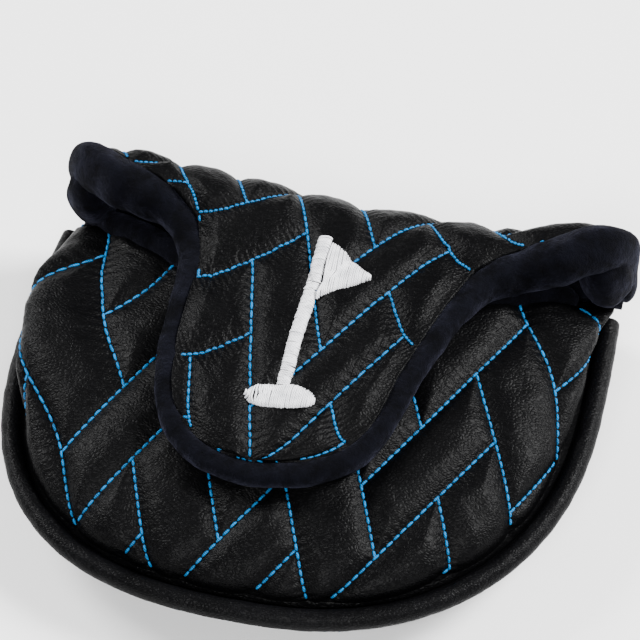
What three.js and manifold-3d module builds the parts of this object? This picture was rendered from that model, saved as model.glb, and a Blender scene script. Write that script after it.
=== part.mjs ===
import * as THREE from 'three';
import Module from 'manifold-3d';

// Putter head cover in mm. +X is the toe, +Y the face side, +Z up; the sole lies on z = 0.

// ---- driving dimensions ----
const HEEL_HALF = 62.6;        // D-shaped seam line at its widest
const TOE_HALF = 59.0;
const WIDEST_Y = 9.0;
const NOSE_Y = -52.8;
const HEEL_SQUARENESS = 2.6;   // superellipse powers of the D
const TOE_SQUARENESS = 2.25;
const HEEL_CORNER_X = 61.0;    // where the seam ends beside the opening
const TOE_CORNER_X = 57.8;
const CORNER_Y = 38.0;
const CORNER_SHARE = 0.13;     // share of the outline in each straight side
const SEAM_Z = 12.0;           // seam height at the nose and at the corners
const SEAM_CORNER_Z = 16.0;
const SEAM_ROOM = 0.9;         // each panel stops this far from the seam plane
const DOME_TOP_Z = 31.5;
const DOME_POWER = 2.2;
const DOME_Y = 43.0;           // the dome's middle lies behind the opening edge
const FLAT_SHARE = 0.7;        // flat middle of the sole

const WALL_Y = 48.0;           // outer face of the face wall
const HINGE_Y = 49.0;          // both folds turn just outside the leather
const FLAP_HINGE_Z = 34.0;
const FOLD_RADIUS = 13.0;
const FOLD_TIGHTENING = 3.5;   // the fold is this much tighter at the corners
const FLAP_LIE = 6.9;          // flap's outer face above the top panel
const TIP_Y = -32.0;
const WALL_HALF = 62.5;

const LEATHER = [0.0, 1.2];    // layer depths below the outer face
const FOAM = [1.5, 4.1];
const LINING = [4.4, 5.7];
const MID_DEPTH = 2.85;
const GAP = 0.3;

const PIPING_R = 2.4;
const PIPING_BORE = 1.6;
const PIPING_OUT = 2.7;        // piping's centre outside the seam line
const ALLOWANCE = 6.5;         // piping's sewn-in strip
const CORD_R = 1.3;
const ROLL_HALF = 3.2;         // half thickness of the velour rolls
const MAGNET_R = 6.0;
const MAGNET_X = 11.0;
const MAGNET_Y = -12.0;

// height of the fold's crest along x
const FOLD_CREST = [[-66, 38], [-60, 41.5], [-54, 43.2], [-46, 42.6], [-36, 41.5], [-28, 41], [-20, 40.4],
  [-10, 39], [0, 38], [10, 37.6], [20, 37.4], [28, 37.2], [35, 37.2], [42, 38.5], [50, 41.2], [56, 43],
  [60, 41.5], [66, 38]];
// distances along the long panel, from the sole's edge over the fold to the tongue's tip
const WALL_LENGTH = 22;
const ARC_LENGTH = 22;
const TOP_LENGTH = 63;
const FLAP_END = 105.4;
const PANEL_HALF_WIDTH = [[0, 62.5], [22, 62.5], [28, 61.5], [33, 57.5], [38, 51], [42, 44], [46, 36.5],
  [50, 31.5], [56, 29.4], [60, 28.2], [70, 26.4], [78, 25.2], [86, 23.8], [90, 23], [94, 21.6], [97, 19.8],
  [99, 18.2], [101, 15.6], [102.5, 13], [104, 9.4], [105, 4.6], [FLAP_END, 0]];
// the tongue leans a little towards the heel
const PANEL_MIDDLE = [[56, 0], [60, -0.4], [70, -1.8], [80, -3.1], [100, -3.4], [FLAP_END, -4.6]];
// how far the velour roll reaches past the leather edge
const ROLL_REACH = [[20, 2.8], [27, 4], [33, 7], [40, 8.5], [48, 7], [60, 5.2], [120, 5]];

const smooth = (t) => THREE.MathUtils.smoothstep(t, 0, 1);
const lerp = THREE.MathUtils.lerp;

function lookUp(rows, x) {
  if (x <= rows[0][0]) return rows[0][1];
  for (let i = 1; i < rows.length; i += 1) {
    if (x <= rows[i][0]) {
      const share = (x - rows[i - 1][0]) / (rows[i][0] - rows[i - 1][0]);
      return lerp(rows[i - 1][1], rows[i][1], share);
    }
  }
  return rows[rows.length - 1][1];
}

// first value in [low, high] where test turns true
function crossing(low, high, test) {
  for (let i = 0; i < 30; i += 1) {
    const middle = (low + high) / 2;
    if (test(middle)) high = middle;
    else low = middle;
  }
  return high;
}

// ---- pouch surfaces ----
const cornerX = (x) => (x < 0 ? HEEL_CORNER_X : TOE_CORNER_X);

function rawOutline(t) {
  const turn = THREE.MathUtils.clamp((t - CORNER_SHARE) / (1 - 2 * CORNER_SHARE), 0, 1) * Math.PI;
  const c = Math.cos(turn);
  const power = 2 / (c < 0 ? HEEL_SQUARENESS : TOE_SQUARENESS);
  const back = Math.max(0, 1 - t / CORNER_SHARE, 1 - (1 - t) / CORNER_SHARE);
  const half = c < 0 ? HEEL_HALF : TOE_HALF;
  if (back > 0) {
    const x = half - (half - cornerX(c)) * back * back;
    return [Math.sign(c) * x, lerp(WIDEST_Y, CORNER_Y, back)];
  }
  return [half * Math.sign(c) * Math.abs(c) ** power,
    lerp(WIDEST_Y, NOSE_Y, Math.abs(Math.sin(turn)) ** power)];
}

// toe corner (t = 0), round the nose, to the heel corner (t = 1)
function outline(t, inset) {
  const [x, y] = rawOutline(t);
  const before = rawOutline(Math.max(t - 0.004, 0));
  const after = rawOutline(Math.min(t + 0.004, 1));
  const length = Math.hypot(after[0] - before[0], after[1] - before[1]);
  const nx = -(after[1] - before[1]) / length;
  const ny = (after[0] - before[0]) / length;
  return { x: x - nx * inset, y: y - ny * inset, nx, ny };
}

const seamZ = (y) => lerp(SEAM_Z, SEAM_CORNER_Z, smooth((y - NOSE_Y) / (CORNER_Y - NOSE_Y)));

// a shallow arch, smooth in the middle
function openingY(x) {
  const share = (Math.hypot(x, 10) - 10) / (x < 0 ? 51 : 48.6);
  return 14 + 24.4 * share ** (x < 0 ? 1.25 : 0.98);
}

function domeZ(rho, edgeZ, depth) {
  const rise = Math.max(0, 1 - Math.min(rho, 1) ** DOME_POWER) ** (1 / DOME_POWER);
  return edgeZ + (DOME_TOP_Z - depth - edgeZ) * rise;
}

// v = 0 on the opening edge, 1 on the seam
function topPanel(t, v, depth) {
  const edge = outline(t, depth);
  const across = (rho) => DOME_Y + (edge.y - DOME_Y) * rho;
  const start = Math.min(crossing(0, 1, (rho) => across(rho) < openingY(edge.x * rho)), 0.962);
  const angle = Math.acos(start ** (DOME_POWER / 2)) * (1 - v);
  const rho = Math.cos(angle) ** (2 / DOME_POWER);
  return [edge.x * rho, across(rho), domeZ(rho, seamZ(edge.y) + SEAM_ROOM, depth)];
}

// height of the top panel's outer face over a point in plan
function topHeight(x, y) {
  const yIn = Math.min(y, CORNER_Y - 0.2);
  const bearing = Math.atan2(yIn - DOME_Y, x);
  const t = crossing(0, 1, (s) => {
    const [px, py] = rawOutline(s);
    return Math.atan2(py - DOME_Y, px) < bearing;
  });
  const [px, py] = rawOutline(t);
  const rho = Math.hypot(x, yIn - DOME_Y) / Math.hypot(px, py - DOME_Y);
  return domeZ(rho, seamZ(py) + SEAM_ROOM, 0);
}

// u runs round the outline, with a short straight run at each end back to the wall; v = 1 on the seam
function solePanel(u, v, depth) {
  const run = 0.06;
  const backY = WALL_Y - depth - GAP / 2;
  const t = THREE.MathUtils.clamp((u - run) / (1 - 2 * run), 0, 1);
  const edge = outline(t, depth);
  const past = Math.max(0, 1 - u / run, 1 - (1 - u) / run);
  const y = lerp(edge.y, backY, past);
  const edgeZ = seamZ(Math.min(y, CORNER_Y)) - SEAM_ROOM;
  const bend = Math.max(0, (v - FLAT_SHARE) / (1 - FLAT_SHARE));
  return [edge.x * v, backY + (y - backY) * v, depth + (edgeZ - depth) * (1 - Math.sqrt(1 - bend * bend))];
}

function soleHeight(x, depth) {
  const edgeX = cornerX(x) - depth;
  const bend = Math.max(0, (Math.min(Math.abs(x) / edgeX, 1) - FLAT_SHARE) / (1 - FLAT_SHARE));
  const edgeZ = SEAM_CORNER_Z - SEAM_ROOM;
  return depth + (edgeZ - depth) * (1 - Math.sqrt(1 - bend * bend));
}

// ---- face wall and flap: one long panel ----
const crestZ = (x) => (lookUp(FOLD_CREST, x - 3) + 2 * lookUp(FOLD_CREST, x) + lookUp(FOLD_CREST, x + 3)) / 4;
const foldRadius = (x) => FOLD_RADIUS - FOLD_TIGHTENING * (Math.abs(x) / 60) ** 2;
const panelHalf = (s) => lookUp(PANEL_HALF_WIDTH, s);
const panelX = (across, s) => lookUp(PANEL_MIDDLE, s) + across * panelHalf(s);

function longPanel(x, s, depth) {
  const crest = crestZ(x);
  const radius = foldRadius(x);
  if (s < WALL_LENGTH) return [x, WALL_Y - depth, (crest - radius) * (s / WALL_LENGTH)];
  if (s < WALL_LENGTH + ARC_LENGTH) {
    const turn = ((s - WALL_LENGTH) / ARC_LENGTH) * Math.PI / 2;
    return [x, WALL_Y - radius + (radius - depth) * Math.cos(turn),
      crest - radius + (radius - depth) * Math.sin(turn)];
  }
  const arcEnd = WALL_Y - radius;
  const y = lerp(arcEnd, TIP_Y, (s - WALL_LENGTH - ARC_LENGTH) / TOP_LENGTH);
  const lie = topHeight(x, y) + FLAP_LIE;
  let z = lerp(crest, lie, smooth((arcEnd - y) / 13));
  if (y < openingY(x) + 3) z = Math.max(z, lie);
  return [x, y, z - depth];
}

// distance along the panel where it crosses the plane through the flap hinge
const SPLIT_OVERRUN = 4;
function splitAt(across) {
  return crossing(WALL_LENGTH / 2, WALL_LENGTH + ARC_LENGTH, (s) => {
    const [, y, z] = longPanel(panelX(across, s), s, MID_DEPTH);
    return z - FLAP_HINGE_Z > y - HINGE_Y;
  });
}

// both run past the hinge plane and are cut back to it
function wallPanel(u, v, depth) {
  const across = 2 * u - 1;
  const x = across * WALL_HALF;
  const perLength = (crestZ(x) - foldRadius(x)) / WALL_LENGTH;
  const bottom = (soleHeight(x, 0) + GAP) / perLength;
  return longPanel(x, lerp(bottom, splitAt(across) + SPLIT_OVERRUN, v), depth);
}

function flapPanel(u, v, depth) {
  const across = 2 * u - 1;
  const s = lerp(splitAt(across) - SPLIT_OVERRUN, FLAP_END, v);
  return longPanel(panelX(across, s), s, depth);
}

// every layer of a panel shares one grid, so that the layers stay clear of each other
const TOP_GRID = [30, 8];
const SOLE_GRID = [30, 8];
const WALL_GRID = [18, 6];
const FLAP_GRID = [18, 20];

// ---- solids ----
// welds equal points, so that a grid row that shrinks to one point still closes
function solid(points, triangles) {
  const index = new Map();
  const positions = [];
  const remap = points.map((p) => {
    const key = p.map((value) => Math.round(value * 1e4)).join();
    if (!index.has(key)) {
      index.set(key, positions.length / 3);
      positions.push(...p);
    }
    return index.get(key);
  });
  const faces = [];
  let volume = 0;
  for (const triangle of triangles) {
    const [a, b, c] = triangle.map((i) => remap[i]);
    if (a !== b && b !== c && c !== a) {
      faces.push([a, b, c]);
      const [p, q, r] = [a, b, c].map((i) => new THREE.Vector3(...positions.slice(3 * i, 3 * i + 3)));
      volume += p.dot(q.cross(r));
    }
  }
  if (volume < 0) faces.forEach((face) => face.reverse());
  const geometry = new THREE.BufferGeometry();
  geometry.setAttribute('position', new THREE.Float32BufferAttribute(positions, 3));
  geometry.setIndex(faces.flat());
  return geometry;
}

// the closed body between two depths of a surface
function slab(surface, [outer, inner], across, along, spread = (v) => v) {
  const points = [];
  const triangles = [];
  const at = (layer, i, j) => (layer * (across + 1) + i) * (along + 1) + j;
  for (const depth of [outer, inner]) {
    for (let i = 0; i <= across; i += 1) {
      for (let j = 0; j <= along; j += 1) points.push(surface(i / across, spread(j / along), depth));
    }
  }
  const quad = (a, b, c, d) => triangles.push([a, b, c], [a, c, d]);
  for (let i = 0; i < across; i += 1) {
    for (let j = 0; j < along; j += 1) {
      quad(at(0, i, j), at(0, i + 1, j), at(0, i + 1, j + 1), at(0, i, j + 1));
      quad(at(1, i, j), at(1, i, j + 1), at(1, i + 1, j + 1), at(1, i + 1, j));
    }
    quad(at(1, i, 0), at(1, i + 1, 0), at(0, i + 1, 0), at(0, i, 0));
    quad(at(0, i, along), at(0, i + 1, along), at(1, i + 1, along), at(1, i, along));
  }
  for (let j = 0; j < along; j += 1) {
    quad(at(0, 0, j), at(0, 0, j + 1), at(1, 0, j + 1), at(1, 0, j));
    quad(at(1, across, j), at(1, across, j + 1), at(0, across, j + 1), at(0, across, j));
  }
  return solid(points, triangles);
}

// a section carried along a path; each station gives origin, two axes and its own section
function sweep(stations) {
  const points = [];
  const triangles = [];
  const count = stations[0].section.length;
  for (const { origin, a, b, section } of stations) {
    for (const [p, q] of section) {
      points.push([0, 1, 2].map((k) => origin[k] + p * a[k] + q * b[k]));
    }
  }
  for (let i = 0; i + 1 < stations.length; i += 1) {
    for (let j = 0; j < count; j += 1) {
      const k = (j + 1) % count;
      const [p, q, r, s] = [i * count + j, i * count + k, (i + 1) * count + k, (i + 1) * count + j];
      triangles.push([p, q, r], [p, r, s]);
    }
  }
  const last = (stations.length - 1) * count;
  const flat = (station) => station.section.map(([p, q]) => new THREE.Vector2(p, q));
  for (const face of THREE.ShapeUtils.triangulateShape(flat(stations[0]), [])) {
    triangles.push([face[2], face[1], face[0]]);
  }
  for (const face of THREE.ShapeUtils.triangulateShape(flat(stations[stations.length - 1]), [])) {
    triangles.push(face.map((i) => last + i));
  }
  return solid(points, triangles);
}

function arc(cx, cy, rx, ry, from, to, steps) {
  const points = [];
  for (let i = 0; i <= steps; i += 1) {
    const angle = THREE.MathUtils.degToRad(lerp(from, to, i / steps));
    points.push([cx + rx * Math.cos(angle), cy + ry * Math.sin(angle)]);
  }
  return points;
}

// a roll's rounded section; extra makes the larger section that its neighbours are cut back from
function rollSection(reach, extra) {
  return arc(GAP - extra, 0, reach - GAP + 2 * extra, ROLL_HALF + extra, -90, 90, 6);
}

function range(count, make) {
  return Array.from({ length: count + 1 }, (_, i) => make(i / count));
}

function unit(v) {
  const length = Math.hypot(...v);
  return v.map((value) => value / length);
}

function cross(a, b) {
  return [a[1] * b[2] - a[2] * b[1], a[2] * b[0] - a[0] * b[2], a[0] * b[1] - a[1] * b[0]];
}

const minus = (a, b) => a.map((value, i) => value - b[i]);

// ---- piping, tape and rolls ----
function alongSeam(section, from, to, count) {
  return sweep(range(count, (share) => {
    const edge = outline(lerp(from, to, share), 0);
    return { origin: [edge.x, edge.y, seamZ(edge.y)], a: [edge.nx, edge.ny, 0], b: [0, 0, 1], section };
  }));
}

function pipingSection() {
  const half = 0.6;
  const slot = 0.1;
  const outer = THREE.MathUtils.radToDeg(Math.asin(half / PIPING_R));
  const inner = THREE.MathUtils.radToDeg(Math.asin(slot / PIPING_BORE));
  return [[-ALLOWANCE, -half], ...arc(PIPING_OUT, 0, PIPING_R, PIPING_R, -180 + outer, 180 - outer, 10),
    [-ALLOWANCE, half], [-ALLOWANCE, slot],
    ...arc(PIPING_OUT, 0, PIPING_BORE, PIPING_BORE, 180 - inner, -180 + inner, 7), [-ALLOWANCE, -slot]];
}

function openingRoll(extra = 0) {
  const at = (t) => topPanel(t, 0, MID_DEPTH);
  return sweep(range(TOP_GRID[0], (t) => {
    const tangent = unit(minus(at(Math.min(t + 0.01, 1)), at(Math.max(t - 0.01, 0))));
    const flat = unit([tangent[0], tangent[1], 0]);
    const a = [flat[1], -flat[0], 0];
    return { origin: at(t), a, b: [0, 0, 1], section: rollSection(3.4, extra) };
  }));
}

function wallRoll(side, extra = 0) {
  const x = side * WALL_HALF;
  const bottom = soleHeight(x, MID_DEPTH) + GAP;
  const perLength = (crestZ(x) - foldRadius(x)) / WALL_LENGTH;
  const top = splitAt(side) + 3;
  return sweep(range(10, (share) => {
    const origin = longPanel(x, lerp(bottom / perLength, top, share), MID_DEPTH);
    return { origin, a: [side, 0, 0], b: [0, 1, 0], section: rollSection(2.8, extra) };
  }));
}

// edge of the flap: 0 at the toe end of the fold, 1 at the heel end
function flapEdge(share) {
  const side = share < 0.5 ? 1 : -1;
  const away = 1 - Math.abs(2 * share - 1);
  const start = splitAt(side) - 3;
  const s = lerp(start, FLAP_END, 1 - (1 - away) ** 1.35);
  return { s, point: longPanel(panelX(side, s), s, MID_DEPTH) };
}

function panelNormal(x, s, depth) {
  const along = minus(longPanel(x, s + 0.3, depth), longPanel(x, s - 0.3, depth));
  const across = minus(longPanel(x + 0.3, s, depth), longPanel(x - 0.3, s, depth));
  return unit(cross(across, along).map((value) => -value));
}

function flapRoll(extra = 0) {
  return sweep(range(64, (share) => {
    const { s, point } = flapEdge(share);
    const ahead = flapEdge(Math.min(share + 0.012, 1)).point;
    const behind = flapEdge(Math.max(share - 0.012, 0)).point;
    const normal = panelNormal(point[0], s, MID_DEPTH);
    const a = unit(cross(unit(minus(ahead, behind)), normal));
    const outward = a.map((value) => -value);
    const b = unit(cross(outward, unit(minus(behind, ahead))));
    return { origin: point, a: outward, b, section: rollSection(lookUp(ROLL_REACH, s), extra) };
  }));
}

// ---- magnets and their pockets ----
const wasm = await Module();
wasm.setup();

function toManifold(geometry) {
  return new wasm.Manifold(new wasm.Mesh({
    numProp: 3,
    vertProperties: new Float32Array(geometry.attributes.position.array),
    triVerts: new Uint32Array(geometry.index.array),
  }));
}

function fromManifold(body) {
  const mesh = body.getMesh();
  const geometry = new THREE.BufferGeometry();
  geometry.setAttribute('position', new THREE.BufferAttribute(mesh.vertProperties, 3));
  geometry.setIndex(new THREE.BufferAttribute(mesh.triVerts, 1));
  return geometry;
}

function topSurfacePoint(x, y) {
  const z = topHeight(x, y);
  const slope = [(topHeight(x + 0.5, y) - topHeight(x - 0.5, y)), (topHeight(x, y + 0.5) - topHeight(x, y - 0.5))];
  return { point: [x, y, z], normal: unit([-slope[0], -slope[1], 1]) };
}

// a disc lying under the surface between two depths
function disc(x, y, lift, radius, [outer, inner]) {
  const { point, normal } = topSurfacePoint(x, y);
  const geometry = new THREE.CylinderGeometry(radius, radius, inner - outer, 20);
  const up = new THREE.Vector3(...normal);
  geometry.applyQuaternion(new THREE.Quaternion().setFromUnitVectors(new THREE.Vector3(0, 1, 0), up));
  const middle = new THREE.Vector3(point[0], point[1], point[2] + lift);
  middle.addScaledVector(up, -(outer + inner) / 2);
  geometry.translate(middle.x, middle.y, middle.z);
  const { position } = geometry.attributes;
  const points = Array.from({ length: position.count }, (_, i) => [position.getX(i), position.getY(i), position.getZ(i)]);
  const corners = Array.from(geometry.index.array);
  const triangles = [];
  for (let i = 0; i < corners.length; i += 3) triangles.push(corners.slice(i, i + 3));
  return solid(points, triangles);
}

const CLEAN_UP = 0.03;         // slivers left by a cut are merged below this size
const MAGNET_DEPTH = [2.3, 3.8];
const POCKET_DEPTH = [2.0, 5.5];

const pockets = (lift) => [-MAGNET_X, MAGNET_X].map((x) => disc(x, MAGNET_Y, lift, MAGNET_R + GAP, POCKET_DEPTH));

// the geometry without its cutters, and only the side of the hinge plane that it belongs to
function cutBack(geometry, cutters, hingeSide = 0) {
  let body = toManifold(geometry);
  for (const cutter of cutters) body = body.subtract(toManifold(cutter));
  if (hingeSide !== 0) {
    const normal = [0, -hingeSide * Math.SQRT1_2, hingeSide * Math.SQRT1_2];
    const offset = normal[1] * HINGE_Y + normal[2] * FLAP_HINGE_Z + GAP / 2;
    body = body.trimByPlane(normal, offset);
  }
  const largest = body.simplify(CLEAN_UP).decompose().sort((a, b) => b.volume() - a.volume())[0];
  return fromManifold(largest);
}

const flapRows = (v) => 1 - (1 - v) ** 1.3;

// ---- embroidered emblem: a plain golf pin flag ----
function emblem() {
  const pole = [[-1.6, -21], [1.6, -21], [1.6, 23], [-1.6, 23]];
  const pennant = [[-1, 23], [-1, 5], [12, 13.5]];
  const cup = arc(0, -21, 7.5, 3.4, 0, 360, 20).slice(0, -1);
  const plan = wasm.CrossSection.union([pole, pennant, cup].map((loop) => {
    const placed = loop.map(([x, y]) => [x - 2, y + 6]);
    return new wasm.CrossSection([placed], 'NonZero');
  }));
  const patch = toManifold(slab(flapPanel, [-0.9, -0.15], ...FLAP_GRID, flapRows));
  return fromManifold(patch.intersect(plan.extrude(60)).simplify(CLEAN_UP));
}

// ---- assembly ----
const MATERIALS = {
  leather: new THREE.MeshStandardMaterial({ color: '#1b1b1e', roughness: 0.55 }),
  velour: new THREE.MeshStandardMaterial({ color: '#14141f', roughness: 0.95 }),
  foam: new THREE.MeshStandardMaterial({ color: '#c9c5b4', roughness: 0.95 }),
  cord: new THREE.MeshStandardMaterial({ color: '#d8d2c4', roughness: 0.9 }),
  magnet: new THREE.MeshStandardMaterial({ color: '#9a9ca0', roughness: 0.35, metalness: 1 }),
  thread: new THREE.MeshStandardMaterial({ color: '#dcdce0', roughness: 0.6 }),
};

const group = new THREE.Group();
group.name = 'putter_head_cover';

function add(name, material, geometry) {
  const flat = geometry.toNonIndexed();
  flat.computeVertexNormals();
  const mesh = new THREE.Mesh(flat, MATERIALS[material]);
  mesh.name = name;
  group.add(mesh);
}

const topRoll = [openingRoll(GAP)];
add('top_leather', 'leather', cutBack(slab(topPanel, LEATHER, ...TOP_GRID), topRoll));
const foamRows = TOP_GRID[1] - 1;
const topFoam = slab(topPanel, FOAM, TOP_GRID[0], foamRows, (v) => (v * foamRows) / TOP_GRID[1]);
add('top_foam', 'foam', cutBack(topFoam, [...topRoll, ...pockets(0)]));
add('top_lining', 'velour', cutBack(slab(topPanel, LINING, ...TOP_GRID), topRoll));
add('top_edge_roll', 'velour', openingRoll());
add('top_magnet_toe', 'magnet', disc(MAGNET_X, MAGNET_Y, 0, MAGNET_R, MAGNET_DEPTH));
add('top_magnet_heel', 'magnet', disc(-MAGNET_X, MAGNET_Y, 0, MAGNET_R, MAGNET_DEPTH));

// two rows across the sole's flat, the rest up the curve
function soleRings(v) {
  const flatRows = 0.25;
  if (v <= flatRows) return (v / flatRows) * FLAT_SHARE;
  return lerp(FLAT_SHARE, 1, Math.sin(((v - flatRows) / (1 - flatRows)) * (Math.PI / 2)));
}
add('sole_leather', 'leather', slab(solePanel, LEATHER, ...SOLE_GRID, soleRings));
const soleFoamRows = (v) => soleRings((v * (SOLE_GRID[1] - 1)) / SOLE_GRID[1]);
add('sole_foam', 'foam', slab(solePanel, FOAM, SOLE_GRID[0], SOLE_GRID[1] - 1, soleFoamRows));
add('sole_lining', 'velour', slab(solePanel, LINING, ...SOLE_GRID, soleRings));
add('piping_cover', 'leather', alongSeam(pipingSection(), 0.008, 0.992, 40));
add('piping_cord', 'cord', alongSeam(arc(PIPING_OUT, 0, CORD_R, CORD_R, 0, 300, 5), 0.01, 0.99, 40));
add('seam_tape', 'velour', alongSeam(arc(-ALLOWANCE - 0.9, 0, 0.6, 1.6, 0, 300, 5), 0.02, 0.98, 36));

// the wall is wider than the sole at the toe, so the cutter reaches past the sole's outer face
const soleRoom = slab(solePanel, [-5.5, LINING[1] + GAP], ...SOLE_GRID, soleRings).translate(0, 1.5 * GAP, GAP);
add('wall_leather', 'leather', cutBack(slab(wallPanel, LEATHER, ...WALL_GRID), [soleRoom], -1));
add('wall_foam', 'foam', cutBack(slab(wallPanel, FOAM, ...WALL_GRID), [soleRoom], -1));
add('wall_lining', 'velour', cutBack(slab(wallPanel, LINING, ...WALL_GRID), [soleRoom], -1));
add('wall_roll_toe', 'velour', cutBack(wallRoll(1), [], -1));
add('wall_roll_heel', 'velour', cutBack(wallRoll(-1), [], -1));

const flapLayer = (depths) => slab(flapPanel, depths, ...FLAP_GRID, flapRows);
const flapRollRoom = [flapRoll(GAP)];
add('flap_leather', 'leather', cutBack(flapLayer(LEATHER), flapRollRoom, 1));
add('flap_foam', 'foam', cutBack(flapLayer(FOAM), [...flapRollRoom, ...pockets(FLAP_LIE)], 1));
add('flap_lining', 'velour', cutBack(flapLayer(LINING), flapRollRoom, 1));
add('flap_roll', 'velour', cutBack(flapRoll(), [], 1));
add('flap_magnet_toe', 'magnet', disc(MAGNET_X, MAGNET_Y, FLAP_LIE, MAGNET_R, MAGNET_DEPTH));
add('flap_magnet_heel', 'magnet', disc(-MAGNET_X, MAGNET_Y, FLAP_LIE, MAGNET_R, MAGNET_DEPTH));
add('flap_emblem', 'thread', emblem());

export default group;
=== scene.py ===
"""Looks of a putter head cover: quilted leather, velour rolls, piping and an embroidered flag."""

import math

import bmesh
import bpy
import numpy as np
from mathutils import Matrix, Vector
from mathutils.kdtree import KDTree


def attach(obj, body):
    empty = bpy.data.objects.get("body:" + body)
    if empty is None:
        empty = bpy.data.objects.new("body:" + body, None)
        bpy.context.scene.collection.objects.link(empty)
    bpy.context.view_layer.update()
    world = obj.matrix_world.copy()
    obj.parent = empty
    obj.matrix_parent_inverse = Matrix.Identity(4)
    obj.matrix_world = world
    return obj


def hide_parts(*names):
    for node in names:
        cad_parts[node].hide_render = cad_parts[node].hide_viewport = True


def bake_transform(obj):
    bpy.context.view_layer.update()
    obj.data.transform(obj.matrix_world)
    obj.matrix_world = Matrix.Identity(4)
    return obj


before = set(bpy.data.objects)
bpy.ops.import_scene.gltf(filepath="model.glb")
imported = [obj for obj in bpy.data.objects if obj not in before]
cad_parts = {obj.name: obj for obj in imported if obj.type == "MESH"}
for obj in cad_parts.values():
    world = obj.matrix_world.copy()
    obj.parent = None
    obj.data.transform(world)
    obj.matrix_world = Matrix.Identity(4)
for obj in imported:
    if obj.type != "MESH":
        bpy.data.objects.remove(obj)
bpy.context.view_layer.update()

MM = 0.001

# ---- the cover's own sizes, mm, as in the CAD ----
HEEL_HALF = 62.6
TOE_HALF = 59.0
WIDEST_Y = 9.0
NOSE_Y = -52.8
HEEL_SQUARENESS = 2.6
TOE_SQUARENESS = 2.25
HEEL_CORNER_X = 61.0
TOE_CORNER_X = 57.8
CORNER_Y = 38.0
CORNER_SHARE = 0.13
SEAM_Z = 12.0
SEAM_CORNER_Z = 16.0
SEAM_ROOM = 0.9
DOME_TOP_Z = 31.5
DOME_POWER = 2.2
DOME_Y = 43.0
FLAT_SHARE = 0.7

WALL_Y = 48.0
FOLD_RADIUS = 13.0
FOLD_TIGHTENING = 3.5
FLAP_LIE = 6.9
TIP_Y = -32.0
WALL_HALF = 62.5
WALL_LENGTH = 22.0
ARC_LENGTH = 22.0
TOP_LENGTH = 63.0
FLAP_END = 105.4
FOLD_CREST = [(-66, 38), (-60, 41.5), (-54, 43.2), (-46, 42.6), (-36, 41.5), (-28, 41), (-20, 40.4),
              (-10, 39), (0, 38), (10, 37.6), (20, 37.4), (28, 37.2), (35, 37.2), (42, 38.5), (50, 41.2),
              (56, 43), (60, 41.5), (66, 38)]
PANEL_HALF_WIDTH = [(0, 62.5), (22, 62.5), (28, 61.5), (33, 57.5), (38, 51), (42, 44), (46, 36.5),
                    (50, 31.5), (56, 29.4), (60, 28.2), (70, 26.4), (78, 25.2), (86, 23.8), (90, 23),
                    (94, 21.6), (97, 19.8), (99, 18.2), (101, 15.6), (102.5, 13), (104, 9.4), (105, 4.6),
                    (FLAP_END, 0)]
PANEL_MIDDLE = [(56, 0), (60, -0.4), (70, -1.8), (80, -3.1), (100, -3.4), (FLAP_END, -4.6)]
ROLL_REACH = [(20, 2.8), (27, 4), (33, 7), (40, 8.5), (48, 6.6), (60, 4.4), (90, 3.9), (120, 4.6)]
ROLL_HALF = [(20, 3.0), (27, 4.4), (33, 5.6), (40, 5.4), (46, 4.6), (52, 3.6), (60, 2.8), (120, 2.6)]
ROLL_DROP = [(20, 0), (27, 0.8), (33, 2.0), (40, 2.8), (46, 2.4), (52, 1.4), (60, 0.7), (120, 0.6)]

PANEL_BACK = 4.1          # leather and padding together
LINING = (4.4, 5.7)
MID_DEPTH = 2.85
PIPING_OUT = 2.7
PIPING_R = 2.4
PIPING_FLANGE = (4.0, 0.55)   # reach into the seam, and half its thickness

# ---- quilting ----
# Fabric coordinates are millimetres on the flat leather. The lattice has two directions, steep and
# slanting; each line runs for three steps and then leaves one step out, which gives the herringbone.
STEEP = np.array([7.3, -17.0])
SLANT = np.array([9.1, 17.4])
RUN = 3
PERIOD = 4
PUFF = 1.9                # how far a tile stands above its seams
TILE_REACH = 6.5          # distance from a seam to the full puff
STITCH_PITCH = 2.1
STITCH_LENGTH = 1.9
THREAD_R = 0.31


def smooth(t):
    t = np.clip(t, 0, 1)
    return t * t * (3 - 2 * t)


def look_up(rows, x):
    rows = np.array(rows, float)
    return np.interp(x, rows[:, 0], rows[:, 1])


def unit(v):
    return v / np.maximum(np.linalg.norm(v, axis=-1, keepdims=True), 1e-9)


# ---- surfaces, the same as the CAD's ----
def corner_x(x):
    return np.where(x < 0, HEEL_CORNER_X, TOE_CORNER_X)


def raw_outline(t):
    t = np.asarray(t, float)
    turn = np.clip((t - CORNER_SHARE) / (1 - 2 * CORNER_SHARE), 0, 1) * np.pi
    c = np.cos(turn)
    power = 2 / np.where(c < 0, HEEL_SQUARENESS, TOE_SQUARENESS)
    back = np.maximum(0, np.maximum(1 - t / CORNER_SHARE, 1 - (1 - t) / CORNER_SHARE))
    half = np.where(c < 0, HEEL_HALF, TOE_HALF)
    x = half * np.sign(c) * np.abs(c) ** power
    y = WIDEST_Y + (NOSE_Y - WIDEST_Y) * np.abs(np.sin(turn)) ** power
    side_x = np.sign(c) * (half - (half - corner_x(c)) * back * back)
    side_y = WIDEST_Y + (CORNER_Y - WIDEST_Y) * back
    return np.where(back > 0, side_x, x), np.where(back > 0, side_y, y)


def outline(t, inset):
    x, y = raw_outline(t)
    ax, ay = raw_outline(np.maximum(t - 0.004, 0))
    bx, by = raw_outline(np.minimum(t + 0.004, 1))
    length = np.hypot(bx - ax, by - ay)
    nx = -(by - ay) / length
    ny = (bx - ax) / length
    return x - nx * inset, y - ny * inset, nx, ny


def seam_z(y):
    return SEAM_Z + (SEAM_CORNER_Z - SEAM_Z) * smooth((y - NOSE_Y) / (CORNER_Y - NOSE_Y))


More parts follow.
